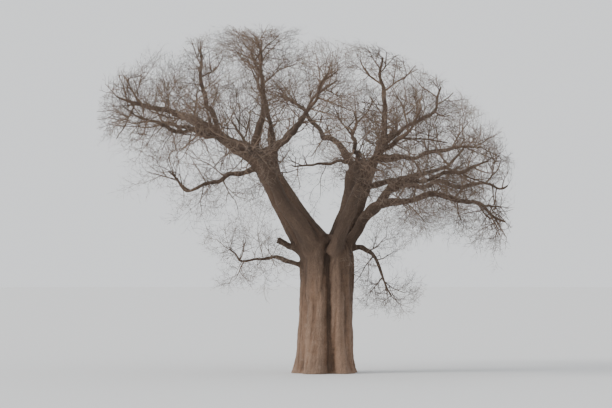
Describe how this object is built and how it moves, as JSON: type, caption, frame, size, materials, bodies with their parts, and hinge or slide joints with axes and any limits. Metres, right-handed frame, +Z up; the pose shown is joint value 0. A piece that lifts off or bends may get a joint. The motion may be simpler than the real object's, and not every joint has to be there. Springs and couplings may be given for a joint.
{
  "type": "baobab tree",
  "caption": "Leafless baobab: a massive fluted trunk that forks into long tapering limbs under a broad, lopsided crown of bare twigs.",
  "frame": {"origin": "middle of the flat cut under the trunk, at ground level", "axes": "+Z up the trunk; +X to the right and +Y away, as the picture shows the tree"},
  "size_m": [18.7205, 16.8024, 15.5655],
  "materials": {
    "trunk_bark": "dull pinkish grey-brown bark, finely wrinkled, with lengthwise folds",
    "limb_bark": "dull grey-brown bark, a little darker than the trunk's",
    "twigs": "bare grey-brown twigs, dull"
  },
  "bodies": {
    "root": {"trunk": "trunk_bark", "left_limb": "limb_bark", "right_high_limb": "limb_bark", "right_low_limb": "limb_bark", "front_limb": "limb_bark", "front_right_limb": "limb_bark", "back_limb": "limb_bark", "back_left_limb": "limb_bark", "back_right_limb": "limb_bark", "low_left_limb": "limb_bark", "low_right_limb": "limb_bark", "broken_stub": "limb_bark", "left_rising_limb": "limb_bark", "middle_limb": "limb_bark", "left_low_limb": "limb_bark", "left_top_limb": "limb_bark", "left_back_limb": "limb_bark", "left_front_limb": "limb_bark", "right_limb": "limb_bark", "inner_limb": "limb_bark", "right_top_limb": "limb_bark", "front_top_limb": "limb_bark", "front_middle_limb": "limb_bark", "front_left_limb": "limb_bark", "front_far_limb": "limb_bark", "front_side_limb": "limb_bark", "back_middle_limb": "limb_bark", "back_far_limb": "limb_bark", "back_top_limb": "limb_bark", "back_side_limb": "limb_bark", "right_side_limb": "limb_bark", "left_twigs": "twigs", "right_high_twigs": "twigs", "right_low_twigs": "twigs", "front_twigs": "twigs", "front_right_twigs": "twigs", "back_twigs": "twigs", "back_left_twigs": "twigs", "back_right_twigs": "twigs", "low_left_twigs": "twigs", "low_right_twigs": "twigs", "left_rising_twigs": "twigs", "middle_twigs": "twigs", "left_low_twigs": "twigs", "left_top_twigs": "twigs", "left_back_twigs": "twigs", "left_front_twigs": "twigs", "right_twigs": "twigs", "inner_twigs": "twigs", "right_top_twigs": "twigs", "front_top_twigs": "twigs", "front_middle_twigs": "twigs", "front_left_twigs": "twigs", "front_far_twigs": "twigs", "front_side_twigs": "twigs", "back_middle_twigs": "twigs", "back_far_twigs": "twigs", "back_top_twigs": "twigs", "back_side_twigs": "twigs", "right_side_twigs": "twigs"}
  },
  "joints": []
}
